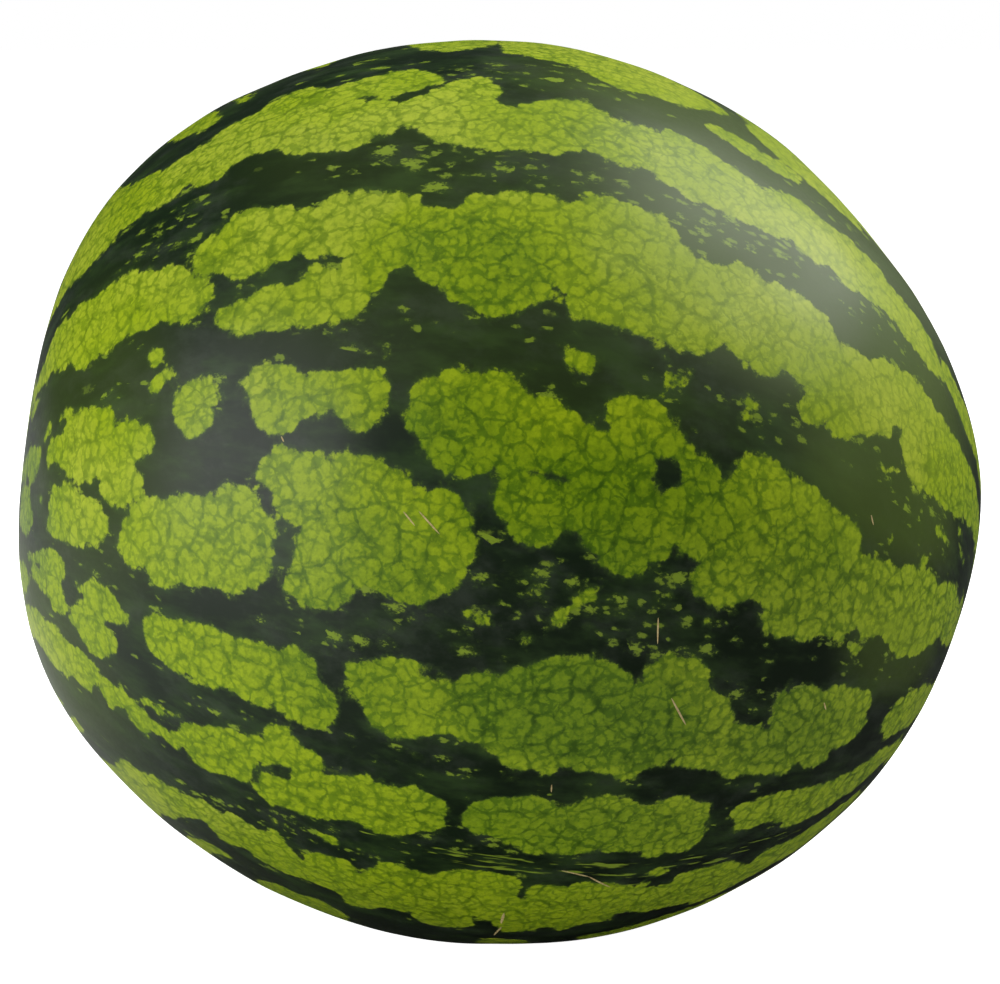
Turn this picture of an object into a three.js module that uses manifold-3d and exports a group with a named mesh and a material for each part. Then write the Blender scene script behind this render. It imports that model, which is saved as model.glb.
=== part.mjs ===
// A whole round-oblong watermelon, lying on a small flat spot. It grew as one piece, so it is one
// closed solid: the rind, with the shallow hollow and the short dry stub where the stem was cut.
// Millimetres, +X right, +Y back, +Z up. The origin is under the middle of the fruit, on the surface
// that the flat spot rests on.
import * as THREE from 'three';
import { mergeVertices } from 'three/addons/utils/BufferGeometryUtils.js';
import Module from 'manifold-3d';

const wasm = await Module();
wasm.setup();

// Driving dimensions, in millimetres.
const GIRTH_RADIUS = 123;
const LENGTH_RADIUS = 132;
const FLAT_RADIUS = 20;
const STUB_RADIUS = 4.5;
const STUB_RISE = 4;
const STUB_FLARE = 1;
const HOLLOW_DEPTH = 4;
const HOLLOW_REACH = 13;

// Bearings are read off a dial that faces the front of the fruit and looks up by this many degrees.
const DIAL_LIFT = 12;
const right = new THREE.Vector3(1, 0, 0);
const upward = new THREE.Vector3(0, 0, 1).applyAxisAngle(right, -THREE.MathUtils.degToRad(DIAL_LIFT));
const forward = new THREE.Vector3(0, -1, 0).applyAxisAngle(right, -THREE.MathUtils.degToRad(DIAL_LIFT));

// A unit vector: dial degrees run anticlockwise from +X, and lean degrees tip it out of the dial,
// towards the front.
function bearing(dial, lean) {
  const turn = THREE.MathUtils.degToRad(dial);
  const tip = THREE.MathUtils.degToRad(lean);
  return right.clone().multiplyScalar(Math.cos(turn) * Math.cos(tip))
    .addScaledVector(upward, Math.sin(turn) * Math.cos(tip))
    .addScaledVector(forward, Math.sin(tip));
}

// The long axis runs down to the right. The stem grew a little off that axis.
const longAxis = bearing(-12, 0);
const stemEnd = bearing(-24.5, -9.9);

// Where the fruit is fuller or flatter than an even egg: the height and the spread, in degrees.
const SWELLS = [
  { at: bearing(173, 11), height: -4.0, spread: 14 }, // flattened blossom end
  { at: bearing(208, 11), height: 2.7, spread: 13 },  // shoulder below it
  { at: bearing(140, 11), height: 1.5, spread: 10 },  // shoulder above it
  { at: bearing(4, 11), height: 1.9, spread: 12 },    // full cheek beside the stem end
  { at: bearing(40, 11), height: -1.6, spread: 14 },  // flatter top of that cheek
];

// How far the surface stands above the even egg, by the direction from its middle.
function swell(direction) {
  let height = 0;
  for (const bump of SWELLS) {
    const away = THREE.MathUtils.radToDeg(direction.angleTo(bump.at));
    height += bump.height * Math.exp(-0.5 * (away / bump.spread) ** 2);
  }
  return height;
}

// The hollow at the stem end and the stub that stands in it, by the distance from the stem's middle.
function stemRelief(distance) {
  const hollow = -HOLLOW_DEPTH * Math.exp(-((distance / HOLLOW_REACH) ** 2));
  const edge = THREE.MathUtils.smoothstep(distance, STUB_RADIUS - STUB_FLARE / 2, STUB_RADIUS + STUB_FLARE);
  return hollow + (HOLLOW_DEPTH + STUB_RISE) * (1 - edge);
}

// A point of the surface, by its angle from the stem end and its turn about it.
const aroundStem = new THREE.Quaternion().setFromUnitVectors(new THREE.Vector3(0, 0, 1), stemEnd);

function surfacePoint(angle, turn) {
  const direction = new THREE.Vector3().setFromSphericalCoords(1, angle, turn);
  direction.set(direction.z, direction.x, direction.y).applyQuaternion(aroundStem);
  const stretch = (LENGTH_RADIUS - GIRTH_RADIUS) * direction.dot(longAxis);
  const relief = swell(direction) + stemRelief(angle * GIRTH_RADIUS);
  return direction.clone().multiplyScalar(GIRTH_RADIUS + relief).addScaledVector(longAxis, stretch);
}

// Rings of points about the stem end: close together on the stub and in the hollow, then even.
const TURNS = 60;
const STEM_RING_DISTANCES = [2.4, STUB_RADIUS - STUB_FLARE / 2, STUB_RADIUS + STUB_FLARE, 7.5, 11, 15, 20, 26];
const RING_STEP = THREE.MathUtils.degToRad(5);

function ringAngles() {
  const angles = STEM_RING_DISTANCES.map((distance) => distance / GIRTH_RADIUS);
  for (let angle = angles.at(-1) + RING_STEP; angle < Math.PI - RING_STEP / 2; angle += RING_STEP) {
    angles.push(angle);
  }
  return angles;
}

// The whole fruit before it has a flat spot, as one closed net from the stub's tip to the far end.
function fruitGeometry() {
  const angles = ringAngles();
  const points = [surfacePoint(0, 0)];
  for (const angle of angles) {
    for (let i = 0; i < TURNS; i++) points.push(surfacePoint(angle, (i / TURNS) * 2 * Math.PI));
  }
  points.push(surfacePoint(Math.PI, 0));
  const last = points.length - 1;
  const faces = [];
  for (let i = 0; i < TURNS; i++) {
    const j = (i + 1) % TURNS;
    faces.push(0, 1 + i, 1 + j);
    for (let ring = 0; ring < angles.length - 1; ring++) {
      const near = 1 + ring * TURNS;
      const far = near + TURNS;
      faces.push(near + i, far + i, far + j, near + i, far + j, near + j);
    }
    const end = 1 + (angles.length - 1) * TURNS;
    faces.push(end + i, last, end + j);
  }
  const geometry = new THREE.BufferGeometry().setFromPoints(points);
  geometry.setIndex(faces);
  return geometry;
}

// A closed three.js geometry as a manifold-3d solid, and back.
function toSolid(geometry) {
  const bare = geometry.clone();
  bare.deleteAttribute('normal');
  bare.deleteAttribute('uv');
  const merged = mergeVertices(bare, 1e-4);
  const mesh = new wasm.Mesh({
    numProp: 3,
    vertProperties: new Float32Array(merged.attributes.position.array),
    triVerts: new Uint32Array(merged.index.array),
  });
  return new wasm.Manifold(mesh);
}

function toGeometry(solid) {
  const mesh = solid.getMesh();
  const geometry = new THREE.BufferGeometry();
  geometry.setAttribute('position', new THREE.BufferAttribute(Float32Array.from(mesh.vertProperties), 3));
  geometry.setIndex(new THREE.BufferAttribute(Uint32Array.from(mesh.triVerts), 1));
  return geometry;
}

// Cuts the flat spot level across the lowest place.
function restOnFlat(geometry) {
  geometry.computeBoundingBox();
  const depth = GIRTH_RADIUS - Math.sqrt(GIRTH_RADIUS ** 2 - FLAT_RADIUS ** 2);
  const side = 2 * LENGTH_RADIUS;
  const below = new THREE.BoxGeometry(side, side, side);
  below.translate(0, 0, geometry.boundingBox.min.z + depth - side / 2);
  return toGeometry(toSolid(geometry).subtract(toSolid(below)));
}

// Puts the flat spot at height 0 and the middle of the fruit's box over the origin.
function centreOverOrigin(geometry) {
  geometry.computeBoundingBox();
  const box = geometry.boundingBox;
  const middle = box.getCenter(new THREE.Vector3());
  geometry.translate(-middle.x, -middle.y, -box.min.z);
  return geometry;
}

const rind = new THREE.MeshStandardMaterial({ color: 0x4f6b22, roughness: 0.42, metalness: 0 });
const watermelon = new THREE.Mesh(centreOverOrigin(restOnFlat(fruitGeometry())), rind);
watermelon.name = 'watermelon';

const fruit = new THREE.Group();
fruit.add(watermelon);

export default fruit;
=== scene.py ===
"""A whole watermelon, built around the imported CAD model.

The rind is one closed skin. Its smooth body is fitted through the CAD node's faces, and its net of
points follows the fruit's own stripes, which all run from the blossom end to the stem end. Places on it
are given in stripe degrees: (along, around). Along runs from -90 at the blossom end to 90 at the stem
end, and around from 0 at the front, positive upwards.
"""
import math
import random

import bpy
import numpy as np
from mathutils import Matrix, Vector, noise


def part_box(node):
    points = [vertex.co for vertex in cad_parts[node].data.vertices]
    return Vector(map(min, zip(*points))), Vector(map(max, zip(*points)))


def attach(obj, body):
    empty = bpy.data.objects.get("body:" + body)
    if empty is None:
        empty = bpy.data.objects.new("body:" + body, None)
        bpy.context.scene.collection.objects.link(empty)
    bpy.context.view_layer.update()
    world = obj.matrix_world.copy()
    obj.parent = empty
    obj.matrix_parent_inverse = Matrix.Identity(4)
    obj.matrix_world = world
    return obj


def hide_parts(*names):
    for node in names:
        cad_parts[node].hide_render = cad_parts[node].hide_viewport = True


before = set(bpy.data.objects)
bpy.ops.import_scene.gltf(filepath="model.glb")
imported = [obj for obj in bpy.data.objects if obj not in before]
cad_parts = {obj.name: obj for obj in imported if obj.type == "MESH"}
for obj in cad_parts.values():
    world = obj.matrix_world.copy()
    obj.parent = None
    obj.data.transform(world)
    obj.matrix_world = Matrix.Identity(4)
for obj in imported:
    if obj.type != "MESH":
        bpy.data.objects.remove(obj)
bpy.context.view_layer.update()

MM = 0.001

# The fruit, in metres and degrees. The bearings are read off a dial that faces the front of the fruit
# and looks up by DIAL_LIFT: dial degrees run anticlockwise from +X, lean tips them towards the front.
GIRTH_RADIUS = 0.123
LENGTH_RADIUS = 0.132
DIAL_LIFT = 12.0
LONG_AXIS = (-12.0, 0.0)
STEM_END = (-24.5, -9.9)
BLOSSOM_END = (180.0, -4.7)
STUB_RADIUS = 0.0045
STUB_RISE = 0.004
STUB_FLARE = 0.001
HOLLOW_DEPTH = 0.004
HOLLOW_REACH = 0.013
STEM_AREA = 0.032
FLAT_AREA_HEIGHT = 0.004
# The dishes, each a depth and a reach: in the stub's tip, at the blossom end, and in its corky button.
TIP_DISH = (0.0008, 0.0022)
BLOSSOM_DISH = (0.0014, 0.010)
BLOSSOM_PIT = (0.0007, 0.0012)
BUTTON_RISE = 0.0009
BUTTON_EDGE = (0.00315, 0.005175)
# From the middle of the CAD node's box to the middle of the egg.
CENTRE_SHIFT = (0.0005, 0.0, -0.0014)

low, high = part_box("watermelon")
CENTRE = np.array((low + high) / 2) + np.array(CENTRE_SHIFT)
ONE_DEGREE = GIRTH_RADIUS * math.pi / 180


# ---------------------------------------------------------------------------------------------------
# Directions and stripe degrees

def bearing(dial, lean):
    """The unit vector of a bearing, in the row frame."""
    turn, tip, lift = math.radians(dial), math.radians(lean), math.radians(DIAL_LIFT)
    right = np.array((1.0, 0.0, 0.0))
    upward = np.array((0.0, math.sin(lift), math.cos(lift)))
    forward = np.array((0.0, -math.cos(lift), math.sin(lift)))
    return math.cos(tip) * (math.cos(turn) * right + math.sin(turn) * upward) + math.sin(tip) * forward


axis = bearing(*LONG_AXIS)
stem = bearing(*STEM_END)
blossom = bearing(*BLOSSOM_END)
front = bearing(0.0, 90.0)


def crossing(vector, other):
    """The unit vector square to both."""
    made = np.cross(vector, other)
    return made / np.linalg.norm(made)


# The stripes are the circles through both ends. Seen from the stem end, they spread on a plane
# (stereographic projection) as straight lines from the blossom end's place on it.
above = crossing(front, stem)
ahead = crossing(stem, above)
blossom_place = (blossom @ ahead + 1j * (blossom @ above)) / (1 - blossom @ stem)
STRIPE_SPREAD = math.sqrt(1 + abs(blossom_place) ** 2)


def stripe_direction(along, around):
    """Unit directions on the even ball for stripe degrees, given as arrays."""
    reach = np.tan(np.radians(along + 90) / 2) * STRIPE_SPREAD
    place = blossom_place + reach * np.exp(1j * np.radians(around))
    square = np.abs(place) ** 2
    flat = np.outer(2 * place.real / (1 + square), ahead) + np.outer(2 * place.imag / (1 + square), above)
    return flat + np.outer((square - 1) / (1 + square), stem)


def distance_to(end, ball):
    """How far points of the even ball lie from an end of the fruit, over the rind."""
    return np.arccos(np.clip(ball @ end, -1, 1)) * GIRTH_RADIUS


def along_at(distance):
    """Stripe degrees left to the nearer end, at a distance from it over the rind."""
    return 2 * np.degrees(np.arctan(distance / GIRTH_RADIUS * STRIPE_SPREAD / 2))


# ---------------------------------------------------------------------------------------------------
# The body, fitted through the CAD node

BODY_DEGREE = 12


def body_terms(direction):
    """The smooth functions on a ball that the body's radius is a sum of."""
    x, y, z = direction.T
    terms = []
    for k in (0, 1):
        for i in range(BODY_DEGREE + 1 - k):
            for j in range(BODY_DEGREE + 1 - k - i):
                terms.append(x ** i * y ** j * z ** k)
    return np.stack(terms, axis=1)


def fit_body(node):
    """Fits the smooth body to a CAD node, apart from its flat spot and its stem end."""
    points = np.array([v.co for v in node.data.vertices]) - CENTRE
    radius = np.linalg.norm(points, axis=1)
    direction = points / radius[:, None]
    clear_of_flat = points[:, 2] + CENTRE[2] > FLAT_AREA_HEIGHT
    clear_of_stem = distance_to(stem, direction) > STEM_AREA
    used = clear_of_flat & clear_of_stem
    return np.linalg.lstsq(body_terms(direction[used]), radius[used], rcond=1e-9)[0]


body = fit_body(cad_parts["watermelon"])


def smooth_step(value, start, end):
    """0 before start, 1 after end, and a soft step between them."""
    t = np.clip((value - start) / (end - start), 0, 1)
    return t * t * (3 - 2 * t)


def mound(distance, height, reach):
    """A round bump with soft sides, by the distance from its middle."""
    return height * np.exp(-(distance / reach) ** 2)


def stem_relief(distance):
    """The hollow at the stem end and the dry stub that stands in it."""
    edge = smooth_step(distance, STUB_RADIUS - STUB_FLARE / 2, STUB_RADIUS + STUB_FLARE)
    stub = HOLLOW_DEPTH + STUB_RISE - mound(distance, *TIP_DISH)
    return stub * (1 - edge) - mound(distance, HOLLOW_DEPTH, HOLLOW_REACH)


def blossom_relief(distance):
    """The shallow dish at the blossom end, with the corky button in its middle."""
    button = BUTTON_RISE * (1 - smooth_step(distance, *BUTTON_EDGE))
    return button - mound(distance, *BLOSSOM_DISH) - mound(distance, *BLOSSOM_PIT)


# The slow and the quick swells of the grown rind: the height, how many on the ball, and a shift.
SWELLS = ((0.0009, 3.2, (0, 0, 0)), (0.00022, 9.0, (7, 3, 5)))


def unevenness(direction):
    """Slow swells of a few tenths of a millimetre, as a grown rind has."""
    height = np.zeros(len(direction))
    for rise, count, shift in SWELLS:
        height += rise * np.array([noise.noise(Vector(d) * count + Vector(shift)) for d in direction])
    return height


def rind_points(along, around):
    """Points of the rind, in the row frame, for stripe degrees given as arrays."""
    ball = stripe_direction(along, around)
    egg = ball + np.outer((LENGTH_RADIUS / GIRTH_RADIUS - 1) * (ball @ axis), axis)
    direction = egg / np.linalg.norm(egg, axis=1)[:, None]
    radius = body_terms(direction) @ body + unevenness(direction)
    radius += stem_relief(distance_to(stem, ball)) + blossom_relief(distance_to(blossom, ball))
    points = CENTRE + direction * radius[:, None]
    points[:, 2] = np.maximum(points[:, 2], 0.0)
    return points


# ---------------------------------------------------------------------------------------------------
# Camera: the fruit's front, from a little above

CAMERA_DISTANCE = 5 * GIRTH_RADIUS
CAMERA_LENS = 79.5
CAMERA_AIM = (0.0003, 0.0007)


def add_camera():
    """The camera looks along +Y, down by DIAL_LIFT."""
    data = bpy.data.cameras.new("camera")
    data.lens = CAMERA_LENS
    data.clip_end = 100
    camera = bpy.data.objects.new("camera", data)
    bpy.context.scene.collection.objects.link(camera)
    aim = CENTRE + CAMERA_AIM[0] * bearing(0, 0) + CAMERA_AIM[1] * bearing(90, 0)
    camera.location = aim + CAMERA_DISTANCE * front
    camera.rotation_euler = (math.radians(90 - DIAL_LIFT), 0, 0)
    bpy.context.scene.camera = camera


add_camera()


# ---------------------------------------------------------------------------------------------------
# The stripes: outlines of the light patches, in stripe degrees. Each lists its corners' places, along
# and around by turns.

LIGHT_PATCHES = [
    # Over the top.
    [-42, 68, -39.5, 64, -38, 62.5, -36.5, 61.2, -35.2, 62, -35, 64.5, -36, 67, -37, 71, -38, 76, -42, 75],
    [-34, 69, -32.5, 65.5, -31.8, 66, -32.5, 68.5, -34, 72],
    [-28, 74, -26, 70, -25.2, 69, -24.5, 71, -24, 76],
    [-17.5, 76, -17, 70.5, -15.5, 68.5, -13.5, 67, -12, 67, -11.5, 68.5, -10, 69.3, -9.5, 71, -9.2, 74,
     -9.4, 80, -13, 83, -17, 81],
    [-8.4, 76, -9, 70, -8.5, 66.5, -7, 66, -5.5, 64.5, -3, 63.8, -2, 64.2, -1.5, 63, -0.5, 61.5, 1, 60.6,
     2.5, 60.3, 4, 61.3, 5, 60.8, 7, 61.5, 8, 62.5, 9.5, 63.5, 10.5, 65, 12.5, 66.8, 11.5, 68.8, 9, 71,
     5, 74, 2, 80, -3, 84, -7, 82],
    [14.2, 66.5, 15, 64, 17, 62.8, 19, 62, 21, 61, 24, 61, 28, 62, 28, 68, 20, 74, 14, 74],
    [9.5, 59.2, 11, 60.8, 13, 61.3, 14.5, 60.8, 15.5, 60, 16, 61, 18, 61.5, 19.5, 60.8, 19, 59, 17.5, 58.3,
     15, 57.7, 12.5, 58, 10.5, 58.5],
    # The first whole band below the top.
    [-66, 48.2, -64, 51.2, -60, 56.2, -56, 61.2, -51, 65.2, -48.5, 65.2, -46.5, 61.2, -45.5, 58.7,
     -43, 57.7, -41.5, 56.2, -40, 54.7, -38.5, 55.7, -35, 56, -33.5, 58.2, -30.5, 58.5, -29.5, 59.5,
     -27, 60.7, -25, 60.2, -23.5, 59, -21.5, 58.8, -20, 59.2, -18, 61, -16, 61.2, -14.5, 59.7, -13.5, 58.7,
     -12.8, 57.7, -13.8, 56.2, -15.5, 54.9, -17, 54.5, -19, 54.7, -21.5, 54.5, -20, 53.8, -18, 53.4,
     -16, 53, -15.2, 53.8, -13.5, 55, -12.3, 56.7, -10.5, 58.5, -9.3, 57.5, -8, 55.7, -7.5, 55, -8.5, 53.7,
     -7.5, 52.7, -6, 53, -4.8, 54.2, -4, 55.2, -2, 55.8, -0.3, 55.2, 0.8, 54, 1.5, 53.4, 3, 53.8, 5.5, 53.7,
     6.2, 54.7, 9.8, 54.7, 10.3, 54, 12.5, 53.8, 14, 53, 15, 51.6, 16, 53.7, 18, 54.7, 20.5, 55.4, 22, 54.6,
     24.5, 55.2, 27, 55.2, 30, 55.7, 31, 54.5, 35, 54.2, 38, 53.8, 39.3, 53.4, 40.4, 52, 41.3, 54.2,
     43, 55.2, 47, 56.2, 52, 56.2, 58, 54.2, 58, 50.2, 54, 49.2, 50, 49.2, 45, 49.5, 42.5, 50, 41, 48.7,
     38.5, 47.7, 35, 47.4, 30, 48, 28, 47, 25, 46.5, 23.5, 47.2, 21.5, 46.7, 20, 46.4, 18.5, 47.5,
     17.5, 46.4, 14.5, 45.9, 11, 46.2, 8, 46.5, 5, 47.2, 3.5, 47.8, 0, 47.5, -2.5, 47.6, -3, 46.7,
     -5.5, 46.4, -8, 45.9, -11, 46, -13, 47, -14.2, 48.5, -15.5, 48.8, -17.5, 47.2, -20, 46.2, -22.5, 46.1,
     -25, 47.1, -26.2, 48.2, -28, 48.5, -31, 48.4, -31.7, 46.5, -34, 46.2, -35, 47.2, -36.5, 47.7,
     -37.5, 46.5, -39, 46.2, -42, 46.2, -45, 46.7, -45.2, 44.5, -48, 44.1, -50, 43.4, -53, 44, -55, 45.2,
     -60, 45.7, -63, 46.7],
    # The second band: a sausage on the left, and the long one.
    [-68, 30, -64, 31, -62, 32, -58, 32.5, -56.5, 34.5, -54, 35.8, -53, 36, -51.5, 35.3, -49.5, 35.8,
     -48, 35.9, -46.3, 34.5, -45.5, 35.3, -44, 36.2, -42.5, 36.6, -41, 36.5, -40, 35.3, -38.5, 35.2,
     -37.5, 34.3, -36, 34.9, -34.5, 34.5, -33.5, 33.2, -32, 32, -30.7, 30.8, -30.8, 29.3, -31.3, 28,
     -33, 27.1, -35, 27.3, -36.5, 28, -38, 27.2, -39.5, 27.3, -40.5, 27, -42, 25.8, -43.5, 25.1, -45, 25,
     -46.5, 24.2, -48, 24.8, -49.5, 26, -51, 25.8, -53, 26, -54.5, 27.3, -56.3, 25.7, -58, 26.5, -60, 27.3,
     -62, 27.5, -66, 27],
    [-66, 25.3, -62, 25.4, -60, 25, -58.2, 24.2, -60, 23.5, -66, 23.3],
    [-33.6, 35, -33.3, 36.3, -31.5, 37.3, -30.8, 38.5, -30.3, 39.8, -28, 40.3, -26.8, 39.6, -24.5, 39.8,
     -23.5, 39, -21, 39, -20, 40.5, -18, 40.5, -16.5, 39.8, -15, 40.5, -13.5, 39.8, -12.5, 38.3,
     -11.5, 38.7, -10, 39, -9.5, 39.8, -8, 40.3, -6.5, 41, -4.5, 41.2, -2.3, 41.5, -1.5, 40.6, 0, 41.3,
     0.3, 42.5, 2, 43, 4.5, 42.4, 6.5, 42.5, 8.2, 41.3, 9.5, 40, 11, 39.8, 12.5, 40, 14, 41, 16, 40.7,
     17, 40.3, 20, 41, 22.5, 40.3, 24.5, 38.8, 25.3, 38.2, 26.5, 38.5, 28.5, 39.2, 29.5, 40, 30.5, 41,
     32, 41, 33.5, 42.3, 35.5, 42.8, 38, 42.3, 42, 42.5, 46, 43.3, 50, 44, 55, 44.5, 60, 43, 61, 38,
     56, 36.5, 52, 35.3, 50, 34, 48.5, 32.5, 46.5, 31, 43.5, 31.2, 41.5, 30.3, 39, 29.5, 37.5, 29.8, 36, 31,
     35.2, 32.5, 34.7, 34.7, 33.8, 34.5, 33.5, 32.5, 32.8, 31.8, 31, 30.5, 29.5, 29.8, 27.5, 29, 26.5, 28.2,
     25.5, 28.5, 25, 29.3, 24, 28, 22.5, 28.3, 21.8, 29.3, 22.8, 30.2, 21, 31.3, 20, 32.4, 19.3, 31.5,
     18.5, 30.6, 16.5, 30.5, 15, 31.2, 13.8, 32, 13, 31, 11.5, 30, 9, 29.8, 6.5, 29.9, 4, 29.8, 2, 29.9,
     0.3, 30.5, -0.3, 31.5, -0.2, 33.5, -0.8, 34.3, -1.2, 32.5, -1.3, 31.3, -3, 30.2, -4, 29, -5.5, 28.4,
     -7, 28.8, -8.8, 28.9, -9.5, 30, -11, 31.3, -12.5, 31.6, -13, 32.5, -14, 32.5, -14.5, 31.5, -14.8, 30,
     -15.5, 29, -16.5, 27.5, -18, 26.7, -20, 26.3, -22, 25.8, -24, 25.5, -26, 25.2, -28, 25.3, -29.3, 26.5,
     -29.3, 28, -28, 29.3, -26, 29.8, -24, 30.2, -22.3, 30.6, -21.5, 31.7, -20, 32.3, -19, 31.8, -18.3, 33,
     -19.5, 33.3, -21, 33.6, -22.5, 33.5, -24, 33, -25, 32, -26.3, 31.5, -28, 31.6, -29, 32.2, -30.5, 32.7,
     -32, 33, -33.2, 33.8],
    # Scraps in the dark below it.
    [1, 26.8, 3, 26.5, 3.3, 25.3, 2, 25, 1.2, 25.8],
    [-14.2, 24.6, -13.2, 24.8, -12.6, 24.1, -13.4, 23.8],
    [9.4, 27.8, 10.9, 27.9, 11, 27.2, 9.8, 27],
    [9.7, 26.4, 10.8, 26.3, 10.6, 25.8, 9.8, 25.8],
    [16.2, 27.3, 17.6, 27.1, 17.4, 26.6, 16.3, 26.7],
    [16.2, 25.8, 17.3, 25.7, 17.2, 25.2, 16.3, 25.3],
    [33, 28.4, 34.2, 28.3, 34.4, 27.8, 33.2, 27.8],
    [34.4, 29.3, 35.3, 29.2, 35.2, 28.8, 34.5, 28.8],
    [45.4, 27.7, 47.6, 27.6, 47.4, 26.9, 45.6, 26.9],
    [36.6, 21.3, 37.5, 21.3, 37.6, 20.4, 36.9, 20.5],
    [43.8, 21.8, 44.6, 21.9, 44.6, 21.2, 43.8, 21.2],
    [50.4, 32, 51.6, 31.9, 51.5, 31, 50.5, 31.1],
    [53, 29.4, 55.4, 29.8, 55.4, 29, 53.4, 28.7],
    # The third band.
    [-54.5, 10.5, -54.3, 12.5, -53, 13.8, -51.5, 14.7, -50, 14.8, -49.5, 16, -48.2, 17.3, -46.5, 17.9,
     -45, 17.6, -43.5, 17.2, -42, 17.3, -41, 16.2, -40.8, 15, -39.5, 15.3, -37.5, 15.5, -36, 15,
     -35.3, 13.7, -35.4, 12, -36.5, 10.8, -37.2, 9.8, -36.2, 8.6, -36.3, 7, -37.5, 5.5, -39.5, 4.3,
     -41.5, 4.8, -42.5, 6, -42.3, 7.6, -43.3, 8.1, -44, 7.3, -45, 7.3, -46.3, 6.8, -47.5, 7.8, -49.5, 8.5,
     -50.5, 9.3, -52.5, 9.6, -54, 9.5],
    [-51.8, 16.8, -51, 18.2, -49.5, 18.3, -48, 17.6, -49, 17, -51, 16.6],
    [-54.6, 16.3, -53.4, 16.5, -53, 15.8, -54.2, 15.5],
    [-55.6, 15.3, -54.8, 15.5, -54.2, 14, -54.8, 13.6],
    [-68, 13, -64, 14, -62, 14.2, -60, 13, -58.5, 13.5, -57, 13.2, -56.3, 11.5, -56.5, 10, -57.5, 9,
     -58.5, 7, -60, 5.8, -61.5, 5.8, -63, 7, -68, 7.5],
    [-33, 18.5, -32.5, 19.8, -31, 20.2, -29.2, 20.3, -28.3, 19, -27.8, 18.4, -28.6, 17.6, -27.9, 16.8,
     -28.2, 15.5, -29.8, 14.2, -31, 13.8, -32, 14.7, -33.2, 15.8],
    [-37.3, 24, -35.5, 23.8, -34.5, 22.5, -36.5, 22.3],
    [-35.8, 21, -34, 21.9, -33.6, 21, -34.8, 20.3],
    [-36.2, 20.2, -35, 20.3, -35.4, 19.2, -36.1, 19],
    [-26.5, 20, -25.5, 21.5, -23.5, 22.2, -21.5, 21.7, -20, 21, -18.5, 21.2, -17, 21.3, -15.5, 22,
     -14, 21.8, -12.8, 20.6, -12.8, 19.5, -13.5, 18, -14, 16.5, -15, 16, -16.5, 17, -17.5, 17.8, -19, 17.2,
     -20.5, 15.8, -22, 15.1, -23.5, 15.1, -24.8, 16.5, -25.5, 18.2],
    [-11.2, 19.5, -10.8, 21, -9.5, 21.8, -8.5, 23, -6.5, 23.5, -4.5, 23.7, -3, 23.4, -1.5, 22.3, 0, 21.7,
     1.5, 21.6, 3.5, 21.2, 4.5, 20.3, 6, 20.5, 4.6, 21.6, 4.5, 22.5, 5.5, 23.6, 7.5, 24.3, 9, 24, 10.5, 23,
     12, 22.3, 13.5, 20.8, 15.5, 20, 16.5, 18.9, 17, 21, 18, 22.3, 20, 22.8, 22.5, 22.1, 24, 22, 26, 22.2,
     27.3, 21.3, 29, 20.8, 31.5, 20.8, 32.7, 20, 33, 18.5, 34, 17.3, 35.2, 18, 37, 18.6, 39, 18, 40.5, 18.8,
     42, 19.5, 44.5, 19.8, 46.5, 20.6, 49, 20.6, 51.5, 21.5, 53.5, 22.8, 56, 23.5, 61, 22.5, 62, 14,
     58, 12.5, 54.5, 13, 53.5, 11.5, 52, 9.8, 50.5, 8.6, 48.5, 7.2, 46.5, 7.2, 44.5, 7.6, 43, 8.2, 41, 9.2,
     39.8, 8.2, 38, 8, 36.7, 9.3, 35.8, 8.5, 35.5, 7, 33.5, 6.5, 31.5, 7, 29.5, 5.8, 27.5, 6, 25.5, 5.8,
     24, 6.8, 24.3, 8.3, 23, 8.8, 22, 8.2, 20.5, 7.7, 18.5, 7.4, 16.5, 8.2, 15.6, 9.6, 16, 11, 14.5, 11.3,
     13.3, 12.3, 13, 10.8, 11.8, 9.8, 10.8, 8.5, 9.5, 8, 7.8, 8.7, 6, 9.8, 5, 11, 4.2, 10.8, 3, 9.6,
     1.2, 9.3, -0.5, 9.8, -1.8, 11.2, -2.6, 13, -2.5, 14.5, -3.5, 14.6, -5, 13.8, -6.5, 13.8, -8, 14.9,
     -9.5, 16.2, -10.7, 17.8],
    # Scraps below the third band.
    [6.1, 5.9, 7.6, 6.3, 7.4, 5.2, 6.4, 4.8],
    [4.4, 3.4, 5.6, 3.7, 5.8, 2.8, 4.6, 2.5],
    [2.3, 5.5, 3.2, 5.7, 3, 4.7, 2.4, 4.7],
    [-2.6, 1.5, -1.2, 1.9, -0.6, 1.2, -2.2, 0.9],
    [2.5, 0.7, 3.4, 0.8, 3.5, 0.2, 2.6, 0.1],
    [13.5, 7.8, 14.3, 8, 14.2, 7.1, 13.6, 7.1],
    [18.4, 5.7, 19.3, 5.8, 19.2, 4.9, 18.5, 4.9],
    [36.2, 6.5, 38.2, 6.6, 38, 6.1, 36.4, 6.1],
    # Big round patches across the middle.
    [-70, 2, -68, 4, -62, 4.2, -61.2, 2, -60.5, 0, -59.3, -1.5, -59.5, -3.5, -60.5, -5.5, -62.5, -7.5,
     -65, -9, -70, -8],
    [-56.8, 2.8, -56.2, 3.5, -55.3, 3.1, -55.4, 1.9, -56.4, 1.9],
    [-52.5, 5.5, -52, 6.7, -50.3, 6.5, -49, 7.5, -47.3, 6.5, -46, 5.3, -44.5, 5, -42.5, 4, -41.2, 2.5,
     -41.1, 1, -41.8, -0.8, -43.5, -1.8, -45.5, -2.5, -47.5, -3, -50, -2.9, -52, -3.1, -53.8, -2.8,
     -53.5, -1, -52.8, 0.5, -52.5, 3],
    [-39, 1.5, -38.8, 3, -37.8, 4.5, -36.5, 6, -34.8, 6.5, -33, 7, -31.5, 7.5, -29.8, 7.7, -28, 7.9,
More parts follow.
